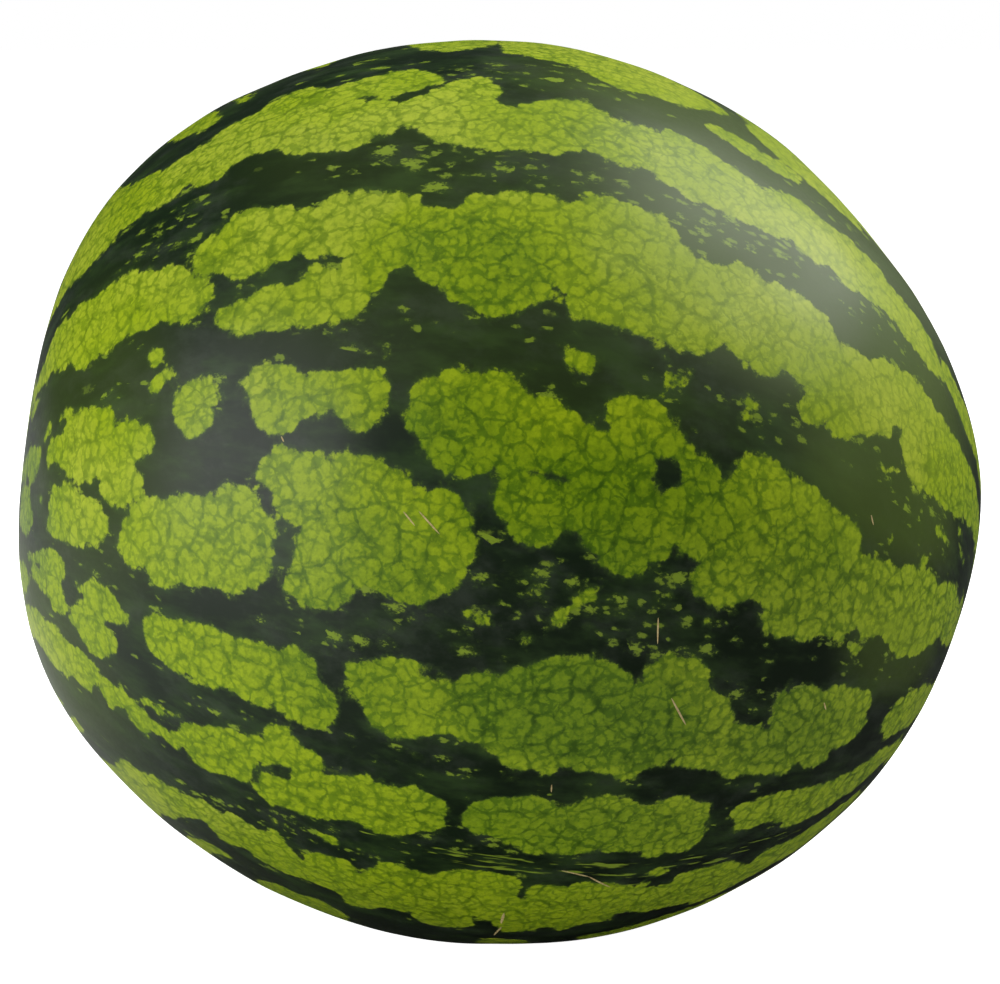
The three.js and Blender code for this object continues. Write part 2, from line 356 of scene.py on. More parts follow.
     -27, 8.3, -26.5, 9.3, -25.2, 9.7, -23.8, 8.9, -23.2, 7.3, -21.8, 6.7, -21.3, 5.2, -21.4, 3.5, -20.8, 2,
     -21, 0.8, -22.5, -0.3, -23.5, -1.2, -24.5, -2, -26, -1.8, -27.3, -2.4, -29, -2.6, -31, -3, -32.5, -3.6,
     -34, -3.6, -35.3, -2.3, -37, -2.2, -38.5, -1.8, -39, -0.5],
    [-24, 10.8, -23.2, 12.3, -22, 13.6, -20, 14, -17.8, 13.9, -16.8, 12.8, -15.8, 14, -13.8, 14.2,
     -12, 13.8, -10.2, 12.7, -9.3, 11.3, -8.3, 12, -6.5, 12.2, -5, 11.5, -4.2, 10, -3.1, 8.3, -3.1, 6.5,
     -3.8, 5, -5, 3.3, -6.5, 1.8, -8.5, 1.4, -10.5, 1.6, -12, 1.9, -13.3, 2, -13.8, 0.5, -15, -1.2,
     -17, -1.7, -18.8, -0.9, -19.7, 0.3, -19.5, 2, -19.2, 4.5, -18.8, 6.5, -20, 7, -21.5, 7.8, -21.8, 9.4,
     -22.8, 9.8],
    # The fourth band, from the left.
    [-61, -13, -60.8, -11.8, -59, -10.5, -57.5, -8.8, -55.5, -7.8, -54.3, -6.5, -52.5, -5.7, -51, -5.6,
     -49.7, -7, -49.2, -8.5, -50, -10.5, -50.5, -12, -49.8, -13.5, -48.6, -14.5, -49, -16, -50, -17.5,
     -52, -17.6, -53.5, -16.5, -55.5, -16.2, -58, -15.5, -60, -15],
    [-46.7, -9.3, -45.5, -9.2, -44.5, -7.3, -42.8, -7.2, -41, -7.3, -39.5, -8.2, -38.6, -9.6, -37.5, -9.2,
     -37, -10.2, -38, -11.5, -40, -12.2, -41.5, -12.7, -41.8, -13.3, -40.3, -13.7, -39.7, -15.3, -40.2, -17,
     -41.3, -18.5, -42.5, -19.8, -44.5, -20.1, -46.5, -19.2, -48.3, -18, -48.9, -16.3, -48.5, -14.8,
     -47.5, -13, -46, -12, -45.2, -11, -45.5, -10.2, -46.5, -10.2],
    [-35.5, -11.5, -35, -9, -34, -7.8, -32.5, -7.2, -30.8, -6.8, -29.5, -7.3, -28, -7.2, -26.5, -6.8,
     -25, -7.2, -22.5, -7, -20.5, -6.6, -18.5, -6.3, -17, -6.4, -15.8, -7.5, -15.5, -8.7, -14.3, -9.8,
     -13.3, -11, -12.6, -12, -13, -13.5, -14, -14.5, -15.8, -15.3, -17.3, -14.8, -18.3, -13.8, -19.5, -14.5,
     -20.2, -13, -21, -14.3, -22.3, -14.2, -24, -13.8, -26, -14.5, -27.8, -14.8, -29.5, -14, -31.5, -14.5,
     -33, -14.2, -34.5, -13],
    [-12.4, -7.5, -12.2, -6.2, -10.8, -6, -10, -5.2, -8.5, -4.8, -7.3, -4.3, -6.2, -4.8, -4.2, -4.7,
     -7.3, -5.6, -5.5, -6, -4, -5.8, -2.5, -5.6, -1.2, -4.8, 0.2, -3.8, 2, -3.8, 3.5, -2.7, 5, -1.7,
     6.5, -0.8, 7.3, -1.2, 8.5, -0.5, 10.5, -0.5, 12, -0.9, 13.5, -1.7, 14.2, -2.7, 14.4, -0.5, 14.8, 1,
     16.2, 1.8, 17.5, 1.2, 18.5, 1.6, 19.5, 0.9, 20.6, 0.5, 21.2, -0.8, 22.2, -1.8, 23.8, -2.3, 24.6, -3.5,
     25.2, -4.9, 27, -5.3, 29, -6, 30, -6, 29.9, -4.5, 29.3, -2.5, 29.4, -0.5, 30, 0.6, 31, -0.2, 32.5, 0.5,
     34.5, 0, 36, -0.5, 37, 0.8, 38.5, 1.1, 40.3, 1, 41.3, 0.5, 42.5, 1.1, 44, 0.6, 44.8, -1, 44.4, -3,
     45.3, -4.5, 45, -6.3, 43.8, -7.8, 42, -8.9, 40.8, -9.3, 41, -11, 40, -12.3, 38.8, -11.9, 37.8, -12,
     36.8, -10.8, 36, -11.5, 35.2, -13.2, 33.5, -12.8, 32, -12, 30.5, -12.5, 29, -12.8, 27.8, -13,
     26.5, -12, 24.5, -11.7, 23, -11.4, 21.2, -11.2, 20.2, -10, 20, -8.6, 19.8, -10.3, 19.2, -12,
     17.8, -12.3, 17, -14, 15.5, -14.3, 14.5, -13.6, 13.3, -13.3, 11.5, -13.8, 9.8, -13, 8.5, -14.1,
     7, -14.2, 5, -14.2, 3.3, -13.6, 2, -12.7, 0.5, -12, -1, -12.2, -2.2, -11.6, -3.8, -12.3, -5.5, -13,
     -7.5, -13.8, -9.5, -13.3, -10.3, -12, -11, -10.3, -12, -8.8],
    [49.8, -5, 50.5, -3, 51, -1, 52.5, 0.5, 54.5, 1.8, 57, 2.8, 62, 2, 62, -8, 57, -8.5, 54, -9.3,
     52.5, -8.8, 51, -7.2],
    # The fifth band.
    [-71, -23, -67, -20, -64, -17, -62, -16, -59.8, -17, -60, -19, -61, -21.5, -63, -25, -65, -29, -66, -31,
     -70, -31],
    [-66, -40, -64.5, -36, -65, -33, -63.5, -29.5, -61, -26, -58.5, -23.5, -56, -22.3, -54, -22.2,
     -52, -21.4, -49.8, -21.6, -47.5, -21.4, -45.5, -22, -43.7, -22.8, -43.4, -24.5, -44.2, -26.3, -45, -28,
     -46.5, -29.3, -48.3, -29, -49.5, -30.5, -51.5, -31.3, -54, -31.8, -57, -32.5, -59, -33.5, -61, -36,
     -63, -39],
    [-43.5, -26.5, -42.8, -24, -41.5, -23.2, -40.3, -23.7, -39.5, -22.3, -38.8, -23.7, -36.5, -24,
     -35.2, -24.6, -35, -25, -34, -25.1, -32, -25.2, -30.5, -24.8, -30.2, -23, -29.3, -21.8, -27.3, -21,
     -26, -20, -24, -19.8, -23, -20.3, -21.8, -19.1, -20.3, -19.3, -20, -18, -19.3, -16.5, -17.9, -16.2,
     -16.8, -17.2, -15.9, -18.6, -14.8, -18.3, -13.6, -19.8, -13.4, -21.2, -12.6, -20.5, -11.3, -20,
     -10.3, -20.5, -9.3, -19.6, -7.8, -19.8, -7, -20.8, -6, -20, -4.5, -19.5, -2.8, -20, -1.2, -20.7,
     -0.7, -21.5, -0.3, -23.2, -0.4, -24.8, -1.5, -25.6, -3.2, -26.3, -4.8, -27.6, -6.5, -28.2, -8, -27.8,
     -9.5, -27.2, -10.5, -28, -12, -28.6, -14.5, -28.9, -17, -29, -18.8, -29.8, -20.5, -29.2, -21.2, -27.6,
     -20.8, -26, -20.2, -24.2, -18.5, -24.2, -17, -24, -16.6, -23, -17.2, -21.6, -18.5, -22.4, -20.8, -22.8,
     -20.7, -23.5, -21.2, -25, -21.5, -26.5, -22.5, -27.8, -24.5, -28, -26, -28.8, -28, -29, -29.3, -28.4,
     -30.3, -26.8, -31, -28, -32.5, -28.3, -33.5, -27, -35, -27.3, -35.8, -28.8, -37, -29, -38.2, -28,
     -39.2, -27, -40.6, -27.2, -41.3, -28.8, -42, -27, -43.3, -26.8],
    [-36.3, -22.7, -34.5, -22, -32.5, -21.5, -30.8, -21.4, -31.5, -22.3, -33.3, -22.8, -33.4, -24,
     -34.2, -23],
    [1, -22.5, 1.2, -20.8, 2, -19.4, 3.8, -18.9, 5.2, -18.5, 6.3, -17.8, 8, -17.7, 9.6, -17.9, 10.5, -18.5,
     11.8, -18.6, 12.5, -17.3, 14, -16.9, 15.5, -16.5, 17.5, -16.9, 19, -17.6, 20.3, -17.7, 21.2, -16.6,
     23, -16, 24.8, -16.6, 25.8, -17.5, 27, -17.5, 27.6, -19, 27.8, -20.5, 28.5, -22, 28.8, -23.3,
     28.5, -25, 27.8, -26.2, 26.5, -26.7, 25.2, -26.3, 24.5, -27, 22.8, -26.8, 21.5, -25.5, 20, -25.7,
     18.3, -25.6, 16.5, -25.6, 14.8, -26.2, 12.5, -26.5, 10.5, -26.8, 8.8, -26.6, 7.3, -25.7, 6.3, -26.2,
     5.3, -25.3, 4, -24.8, 2.5, -24.5],
    [30.6, -19, 31.2, -17.8, 33, -17.8, 34.8, -16.8, 36.5, -16.4, 38.5, -16.2, 40.3, -16.7, 42, -16.3,
     44, -15.9, 46.5, -15.6, 49, -15.4, 52, -14, 54, -13, 60, -12, 62, -17, 57, -21, 53, -23.5, 50, -24.5,
     46, -24.9, 42.5, -25.4, 40.5, -25.1, 39.8, -24, 38, -23, 36, -23.2, 35, -23.8, 33.2, -23.2, 32.3, -22,
     31.6, -20.5],
    # Scraps between the fifth band and the sixth.
    [-14, -31.4, -12.5, -31.2, -11.2, -31.6, -11.4, -32.8, -13, -32.4],
    [-18.6, -33, -17.2, -32.8, -17.2, -33.4, -18.4, -33.5],
    [23.8, -30.5, 25.5, -30.2, 26.8, -30.8, 26, -31.8, 24.5, -32],
    [24.3, -32.5, 25, -33.3, 25.5, -34.3, 24.6, -34],
    # The sixth band.
    [-41.8, -43, -41, -41, -39.5, -40.5, -37.5, -40, -36, -39, -35.3, -37.5, -34, -38, -32.5, -38,
     -31.5, -37.6, -30.8, -38, -29.5, -37.2, -28, -36.5, -26.5, -37.5, -25.3, -37.8, -24, -36.2,
     -22.5, -36.3, -21, -37.3, -19.8, -37, -18.7, -35.2, -17.8, -35.8, -16.8, -37.5, -15.8, -39, -14.6, -40,
     -14.2, -37.8, -13, -36.3, -11.2, -35.8, -9.8, -35.7, -8.6, -37.2, -7.8, -38.8, -7.5, -37, -7, -35.4,
     -5.8, -34, -4, -33.2, -2.5, -33.6, -1.3, -34.1, -0.2, -34.6, 0.3, -35.2, 0.8, -33.5, 2, -32.3,
     4.5, -32.2, 7, -31.9, 8.8, -32.6, 9.8, -34, 10.3, -36.5, 10.8, -37.4, 11, -35, 12, -33.4, 14, -33.2,
     15.5, -33.6, 16.2, -32.8, 17.5, -32.1, 18.8, -32.8, 19.8, -32.6, 20.3, -33.4, 22.3, -33.5, 23.5, -34.7,
     25, -35.1, 27.5, -35.3, 29, -34.9, 28.5, -33.2, 29.5, -32.1, 31.5, -32, 33, -32.3, 34.5, -31.5,
     36, -31.6, 37, -33, 38.3, -34.5, 39.8, -35.5, 40.5, -35.2, 40, -33, 40.8, -31.3, 43, -31.2, 45.5, -31,
     48, -29.8, 50.5, -28.8, 53, -27.5, 57, -27, 60, -31, 56, -37, 51, -41, 47, -42, 44, -42.5, 42, -43,
     41, -44.5, 40, -46, 38, -47.5, 36, -48.5, 34.5, -45.5, 32, -45, 30, -45, 28.5, -44, 27, -44.3,
     25.5, -43, 24, -42.5, 23.3, -44, 23.5, -45.5, 22, -45.5, 20.5, -45.2, 19, -46, 18, -48, 17, -47,
     16, -45.6, 14.5, -46, 14, -47.5, 12, -48.5, 10.5, -48.3, 9.8, -46.5, 8.5, -44.5, 7.5, -44.3,
     6.3, -43.5, 5.9, -45, 6.2, -47.5, 5, -49, 2.5, -49.3, 0.3, -48.8, -0.4, -47, -0.7, -45.2, -2, -45.8,
     -4, -46.3, -5.2, -47, -5.8, -48.8, -7.5, -49.2, -9, -48.7, -9.8, -47, -11, -46.2, -13, -46, -15, -46.2,
     -17, -47.2, -19, -47.8, -21, -47.2, -22, -45.6, -23.3, -44.8, -24.5, -46.3, -26, -46, -27, -44.5,
     -28, -42.8, -29.5, -43, -30.5, -44.5, -32, -46.5, -33.5, -50, -35.5, -53.5, -36.5, -56.5, -37.5, -60,
     -40, -62, -46, -60, -48, -55, -46, -52.5, -44.5, -50, -42.8, -48.5, -42.3, -46],
    [-50.3, -43.5, -48.5, -45, -49.5, -48, -51, -52, -52, -57, -54.5, -56, -52.5, -50, -51, -46.5],
    [-53.8, -44, -52.8, -44.5, -54.3, -48, -55.8, -52.5, -57.5, -52, -55.5, -47.5],
    # Along the bottom.
    [-29.5, -52, -27, -51.3, -25.5, -52, -25, -53.8, -27.5, -54.5, -28, -57, -29.5, -62, -33, -63, -32, -58,
     -31, -55],
    [-20.5, -57, -19, -55, -17.5, -54.5, -15.8, -55, -14.7, -54.3, -13.5, -53.3, -11.5, -53.5, -10.2, -54.8,
     -8.8, -57, -8.5, -60, -8, -66, -14, -68, -21, -66, -21.5, -60],
    [8.5, -54.2, 10.5, -53, 12.5, -53.4, 14.5, -54, 15, -57, 12, -62, 8.5, -61],
]

# Dark windows and slits inside the light patches.
DARK_WINDOWS = [
    [10, 18.8, 10.5, 19.5, 12.3, 19, 12.5, 17.8, 11.8, 16.6, 11, 16, 10, 17],
    [-3.2, 15.3, 0, 15.35, 4.4, 15.3, 4.4, 15.2, 0, 15.2, -3.2, 15.1],
    [-58.8, 12.4, -58, 13, -57.3, 12, -58.2, 11.5],
    [-57.8, -11.6, -56.6, -10.8, -56.2, -11.8, -57.2, -12.4],
    [-60.2, -13.1, -59.3, -12.8, -59.4, -13.7],
    [-55.1, -14.2, -54.3, -13.8, -54.2, -14.8],
]


# How far along from an outline or a lobe its distance is worked out, in degrees, and the one beyond.
OUTLINE_REACH = 6
LOBE_REACH = 12
FAR_OUTSIDE = -99.0


def signed_distances(outlines, along, around):
    """How far points on one ring lie inside the outlines, in degrees over the rind; outside is negative."""
    squeeze = math.cos(math.radians(along))
    found = np.full(len(around), FAR_OUTSIDE)
    for outline in outlines:
        corners = np.array(outline).reshape(-1, 2)
        first, last = corners[:, 0].min() - OUTLINE_REACH, corners[:, 0].max() + OUTLINE_REACH
        if not first <= along <= last:
            continue
        start = np.stack((corners[:, 0], corners[:, 1] * squeeze), axis=1)
        side = np.roll(start, -1, axis=0) - start
        to_x = along - start[:, 0][None, :]
        to_y = around[:, None] * squeeze - start[:, 1][None, :]
        share = np.clip((to_x * side[:, 0] + to_y * side[:, 1]) / (side ** 2).sum(axis=1), 0, 1)
        away = np.hypot(to_x - share * side[:, 0], to_y - share * side[:, 1]).min(axis=1)
        crosses = (start[:, 0] > along) != (start[:, 0] + side[:, 0] > along)
        meets = start[:, 1] + side[:, 1] * (along - start[:, 0]) / np.where(side[:, 0] == 0, 1, side[:, 0])
        inside = (crosses[None, :] & (meets[None, :] > around[:, None] * squeeze)).sum(axis=1) % 2 == 1
        found = np.maximum(found, np.where(inside, away, -away))
    return found


# The bands that the outlines don't reach: round the back, and towards both ends. Each is a chain of
# round lobes, from a seeded draw.
BAND_GAP = 360 / 19
BACK_BANDS = [-76 - BAND_GAP * i for i in range(11)]
BACK_HALF_WIDTHS = (4.0, 6.2)
# How a band wanders, in degrees and waves, and how long and how far apart its gaps are.
BAND_WANDER = 1.6
BAND_WAVES = 5
FIRST_GAP = (12, 40)
GAP_LENGTHS = (3.5, 8.0)
GAP_SPACING = (14, 46)
# The lobes' places and sizes, as shares of the band's half width, and their shift along in degrees.
LOBE_PLACES = (0.25, 0.75)
LOBE_RADII = (0.5, 0.95)
LOBE_SPACING = (0.7, 1.1)
LEAST_SPACING = 0.7
LOBE_SHIFT = 0.8
BANDS_END = 86
# Bands at the ends and beside the outlines: from, to, and each band's place around and half width.
END_BANDS = [
    (-86, -66, [(53, 4.5), (30, 3), (11, 3), (-3, 4), (-24, 4), (-36, 3), (-55, 3)]),
    (62, 86, [(53, 3.5), (40, 4), (18, 4.5), (-3, 4), (-18, 3.5), (-34, 4.5)]),
    (24, 86, [(72, 3.6), (70, 3.6), (-56, 3.6)]),
    (-86, -46, [(74, 3.6)]),
]


def lobes_of_band(draw, around, start, end, half_width):
    """A chain of lobes (along, around, radius in degrees over the rind), thinning towards the ends."""
    lobes = []
    along = start
    drift = draw.uniform(0, 2 * math.pi)
    gap_at = draw.uniform(start + FIRST_GAP[0], start + FIRST_GAP[1])
    while along < end:
        squeeze = math.cos(math.radians(along))
        wander = BAND_WANDER * math.sin(math.radians(along) * BAND_WAVES + drift)
        if along > gap_at:
            along += draw.uniform(*GAP_LENGTHS)
            gap_at = along + draw.uniform(*GAP_SPACING)
        size = half_width * squeeze
        for side in (-1, 1):
            shift = side * size * draw.uniform(*LOBE_PLACES)
            radius = size * draw.uniform(*LOBE_RADII)
            place = around + wander + shift / max(squeeze, 0.05)
            lobes.append((along + draw.uniform(-LOBE_SHIFT, LOBE_SHIFT), place, radius))
        along += max(LEAST_SPACING, size * draw.uniform(*LOBE_SPACING))
    return lobes


def all_lobes():
    """Every lobe of the bands that aren't outlined."""
    draw = random.Random(11)
    lobes = []
    for around in BACK_BANDS:
        half_width = draw.uniform(*BACK_HALF_WIDTHS)
        lobes += lobes_of_band(draw, around, -BANDS_END, BANDS_END, half_width)
    for start, end, bands in END_BANDS:
        for around, half_width in bands:
            lobes += lobes_of_band(draw, around, start, end, half_width)
    return np.array(lobes)


def lobe_distances(lobes, along, around):
    """How far points on one ring lie inside the lobes, in degrees over the rind."""
    near = lobes[np.abs(lobes[:, 0] - along) < LOBE_REACH]
    if not len(near):
        return np.full(len(around), FAR_OUTSIDE)
    squeeze = math.cos(math.radians(along))
    turn = (around[:, None] - near[:, 1][None, :] + 180) % 360 - 180
    away = np.hypot(near[:, 0][None, :] - along, turn * squeeze)
    return (near[:, 2][None, :] - away).max(axis=1)


# Where light flecks crowd in the dark: (along, around, half length, half width, how many, 0 to 1).
FLECK_AREAS = [
    (-4, 59.5, 9, 3, 0.9), (-22, 64, 8, 3, 0.25), (-36, 42, 5, 2, 0.7), (-37.5, 39, 5, 2, 0.9),
    (-8, 44, 14, 2.5, 0.8), (10, 44.5, 12, 2.5, 0.8), (26, 45, 12, 2.5, 0.6), (22, 58.5, 6, 2, 0.6),
    (-40, 19, 3, 1.5, 0.9), (-15, 26, 4, 2, 0.8), (-3, 26, 8, 2.5, 0.35), (10, 26.5, 3, 2, 0.7),
    (18, 26.5, 5, 2, 0.7), (35, 28, 10, 2.5, 0.5), (46, 25, 7, 4, 0.5), (9, 5, 12, 4.5, 0.65),
    (20, 5, 9, 3, 0.6), (42, 5, 9, 2.5, 0.45), (-15, -3, 7, 2.5, 0.5), (-6, -1, 7, 2, 0.45),
    (-38, -5, 14, 1.5, 0.2), (-5, -16, 8, 2, 0.45), (-24, -17.5, 5, 1.5, 0.4), (2, -26.5, 6, 2, 0.8),
    (-14, -32, 10, 2.5, 0.8), (-25, -35.5, 6, 1.6, 0.8), (-12, -15, 60, 1, 0.15), (26, -3, 4, 3, 0.4),
]
# Where the dark is full of thin light streaks along the stripe.
STREAK_AREAS = [
    (6, -29.6, 20, 2.2, 1.0), (27, -29.5, 12, 2.4, 1.0), (40, -28, 12, 2, 0.8), (24, -32, 5, 2.5, 0.8),
]
# The seeded ones on the back: how many, how far off the middle between two bands, and their ranges.
BACK_AREAS = 26
BACK_DRIFT = 2
BACK_RANGES = ((-60, 60), (6, 16), (2, 4), (0.3, 0.9))
# Where a pale wax bloom lies on the rind, and painted sheen where the softboxes' and the floor's highlights
# fall: the dark is more olive and the veins are fainter.
BLOOM_AND_SHEEN_AREAS = [
    (24, 43, 24, 14, 1.0), (20, 60, 24, 12, 0.8), (36, 27, 14, 9, 0.8), (-12, 46, 18, 10, 0.2),
    (-2, 27, 26, 8, 0.2), (46, 8, 10, 8, 0.6), (-46, 12, 14, 24, 0.35), (-60, -30, 20, 20, 0.5),
]
# Where the light patches are a deeper green: partly the rind's own tone, partly painted shade, mostly across
# the front.
DEEP_AND_SHADED_AREAS = [
    (-8, 33, 8, 6, 0.6), (-6, 17, 7, 6, 0.6), (3, 12, 10, 7, 0.8), (12, 14, 12, 9, 0.7),
    (24, 10, 14, 12, 0.5), (-10, -10, 10, 8, 0.5),
    (10, -7, 16, 7, 0.8), (-14, 3, 10, 8, 0.55), (14, -22, 22, 6, 0.6), (10, -40, 40, 10, 0.12),
    (34, 8, 14, 10, 0.4), (30, -5, 14, 8, 0.5), (42, 15, 14, 10, 0.35), (12, -8, 46, 34, 0.32),
    (-66, -2, 16, 24, 0.6), (56, 25, 14, 26, 0.35), (-30, -24, 22, 14, 0.2),
]


# How an area fades, in shares of its half length and half width.
AREA_FADE = (0.55, 1.4)


def area_strength(areas, along, around):
    """How strongly a set of areas covers points on one ring, 0 to 1."""
    found = np.zeros(len(around))
    for centre, turn_centre, half_length, half_width, strength in areas:
        turn = (around - turn_centre + 180) % 360 - 180
        away = np.hypot((along - centre) / half_length, turn / half_width)
        found = np.maximum(found, strength * (1 - smooth_step(away, *AREA_FADE)))
    return found


def back_areas():
    """Fleck areas between the bands round the back, from a seeded draw."""
    draw = random.Random(5)
    areas = []
    for _ in range(BACK_AREAS):
        around = draw.choice(BACK_BANDS) + BAND_GAP / 2 + draw.uniform(-BACK_DRIFT, BACK_DRIFT)
        along, *sizes = [draw.uniform(*limits) for limits in BACK_RANGES]
        areas.append((along, around, *sizes))
    return areas


# ---------------------------------------------------------------------------------------------------
# The rind's mesh

TURNS = 396
RING_STEP = 0.00175
FINE_STEP = 0.00045
FINE_REACH = 0.0075
STEP_GROWTH = 1.12
LAST_ALONG = 89.9999
STRIP_EDGE = 0.004
# The material reads distances up to these, in millimetres.
PATCH_LIMIT = 12
END_LIMIT = 60


def distances_from_end(fine_reach):
    """Distances of rings from an end: close together up to fine_reach, then growing to RING_STEP."""
    step, distance, found = FINE_STEP, 0.0, []
    while step < RING_STEP:
        distance += step
        found.append(distance)
        if distance > fine_reach:
            step *= STEP_GROWTH
    return np.array(found)


def ring_places():
    """The stripe degrees along the fruit of every ring of points, from the blossom end."""
    left = -90 + along_at(distances_from_end(FINE_REACH * 0.6))
    right = 90 - along_at(distances_from_end(FINE_REACH))[::-1]
    count = round((right[0] - left[-1]) * ONE_DEGREE / RING_STEP)
    return np.concatenate((left, np.linspace(left[-1], right[0], count + 1)[1:-1], right))


def add_uv(mesh, rings):
    """Two strips, the front half over the back half, each running from end to end."""
    layer = mesh.uv_layers.new(name="OFBake")
    across = np.concatenate(([0.0], (np.arange(rings) + 1) / (rings + 1), [1.0]))
    across = STRIP_EDGE + across * (1 - 2 * STRIP_EDGE)
    half = TURNS // 2
    values = []
    for polygon in mesh.polygons:
        corners = [mesh.loops[i].vertex_index for i in polygon.loop_indices]
        turns = [(v - 1) % TURNS if 0 < v <= rings * TURNS else None for v in corners]
        known = [t for t in turns if t is not None]
        first = min(known) if max(known) - min(known) < half else max(known)
        strip = first // half
        for v, t in zip(corners, turns):
            ring = 0 if v == 0 else rings + 1 if v > rings * TURNS else (v - 1) // TURNS + 1
            t = first + 0.5 if t is None else t + TURNS if t < first else t
            up = (t - strip * half) / half
            values += [across[ring], strip / 2 + STRIP_EDGE / 2 + up * (0.5 - STRIP_EDGE)]
    layer.data.foreach_set("uv", values)


def build_rind():
    """The rind's skin, with what its material reads on each point."""
    along = ring_places()
    rings = len(along)
    around = -90 + 360 * np.arange(TURNS) / TURNS
    every_along = np.concatenate(([-90.0], np.repeat(along, TURNS), [90.0]))
    every_around = np.concatenate(([0.0], np.tile(around, rings), [0.0]))
    every_along = np.clip(every_along, -LAST_ALONG, LAST_ALONG)
    points = rind_points(every_along, every_around)

    ring = 1 + TURNS * np.arange(rings - 1)[:, None]
    here = np.arange(TURNS)[None, :]
    after = (here + 1) % TURNS
    quads = np.stack((ring + here, ring + TURNS + here, ring + TURNS + after, ring + after), axis=2)
    faces = quads.reshape(-1, 4).tolist()
    last = len(points) - 1
    for i in range(TURNS):
        j = (i + 1) % TURNS
        faces.append([0, 1 + i, 1 + j])
        faces.append([last, last - TURNS + j, last - TURNS + i])
    mesh = bpy.data.meshes.new("watermelon_rind")
    mesh.from_pydata(points.tolist(), [], faces)
    mesh.polygons.foreach_set("use_smooth", [True] * len(mesh.polygons))
    add_uv(mesh, rings)
    mesh.update()

    lobes = all_lobes()
    # The bloom areas also lay painted sheen on the rind, and the deepness areas lay painted shade.
    areas = {"flecks": FLECK_AREAS + back_areas(), "streaks": STREAK_AREAS,
             "deepness_and_shade": DEEP_AND_SHADED_AREAS, "bloom_and_sheen": BLOOM_AND_SHEEN_AREAS}
    strengths = {name: [0.0] for name in areas}
    patch = [FAR_OUTSIDE]
    for place in along:
        light = signed_distances(LIGHT_PATCHES, place, around)
        light = np.maximum(light, lobe_distances(lobes, place, around))
        patch += np.minimum(light, -signed_distances(DARK_WINDOWS, place, around)).tolist()
        for name, found in areas.items():
            strengths[name] += area_strength(found, place, around).tolist()
    patch_mm = np.array(patch + [FAR_OUTSIDE]) * ONE_DEGREE / MM
    add_values(mesh, "patch_mm", np.clip(patch_mm, -PATCH_LIMIT, PATCH_LIMIT))
    for name, values in strengths.items():
        add_values(mesh, name, np.array(values + [0.0]))

    ball = stripe_direction(every_along, every_around)
    add_values(mesh, "stem_mm", np.minimum(distance_to(stem, ball) / MM, END_LIMIT))
    add_values(mesh, "blossom_mm", np.minimum(distance_to(blossom, ball) / MM, END_LIMIT))
    turn = np.radians(every_around)
    grain = np.stack((every_along * ONE_DEGREE, GIRTH_RADIUS * np.cos(turn), GIRTH_RADIUS * np.sin(turn)), 1)
    attribute = mesh.attributes.new("grain", "FLOAT_VECTOR", "POINT")
    attribute.data.foreach_set("vector", grain.ravel())
    rind = bpy.data.objects.new("watermelon_rind", mesh)
    bpy.context.scene.collection.objects.link(rind)
    return rind


def add_values(mesh, name, values):
    """One number on each point of a mesh."""
    attribute = mesh.attributes.new(name, "FLOAT", "POINT")
    attribute.data.foreach_set("value", values)


# ---------------------------------------------------------------------------------------------------
# Materials

class Nodes:
    """Short ways to add shader nodes to one material or world."""

    def __init__(self, owner, shader="Principled BSDF"):
        owner.use_nodes = True
        self.owner = owner
        self.tree = owner.node_tree
        self.shader = self.tree.nodes[shader]

    def node(self, kind, inputs=None, **settings):
        made = self.tree.nodes.new(kind)
        for key, value in settings.items():
            setattr(made, key, value)
        for key, value in (inputs or {}).items():
            self.put(value, made.inputs[key])
        return made

    def put(self, value, socket):
        if isinstance(value, bpy.types.NodeSocket):
            self.tree.links.new(value, socket)
        else:
            socket.default_value = value

    def math(self, operation, *values, clamp=False):
        made = self.node("ShaderNodeMath", operation=operation, use_clamp=clamp)
        for value, socket in zip(values, made.inputs):
            self.put(value, socket)
        return made.outputs[0]

    def step(self, value, start, end, low=0.0, high=1.0):
        inputs = {"Value": value, "From Min": start, "From Max": end, "To Min": low, "To Max": high}
        made = self.node("ShaderNodeMapRange", inputs, interpolation_type="SMOOTHSTEP")
        return made.outputs[0]

    def blend(self, share, first, second, kind="MIX"):
        made = self.node("ShaderNodeMix", data_type="RGBA", blend_type=kind)
        self.put(share, made.inputs[0])
        self.put(first, made.inputs[6])
        self.put(second, made.inputs[7])
        return made.outputs[2]

    def value(self, name):
        return self.node("ShaderNodeAttribute", attribute_name=name).outputs["Fac"]

    def vector(self, name):
        return self.node("ShaderNodeAttribute", attribute_name=name).outputs["Vector"]

    def noise(self, place, scale, detail=2.0, roughness=0.5, output="Fac"):
        inputs = {"Vector": place, "Scale": scale, "Detail": detail, "Roughness": roughness}
        return self.node("ShaderNodeTexNoise", inputs).outputs[output]

    def cells(self, place, size, feature="F1", randomness=1.0):
        inputs = {"Vector": place, "Scale": 1 / size, "Randomness": randomness}
        return self.node("ShaderNodeTexVoronoi", inputs, feature=feature).outputs

    def opposite(self, value):
        return self.math("SUBTRACT", 1.0, value)

    def stretched(self, place, share):
        made = self.node("ShaderNodeVectorMath", {0: place, 1: (share, 1, 1)}, operation="MULTIPLY")
        return made.outputs[0]

    def finish(self, looks):
        for name, value in looks.items():
            self.put(value, self.shader.inputs[name])


LOBE_SIZE = 0.0072
CELL_SIZE = 0.0029
CELL_SPREAD = 0.85

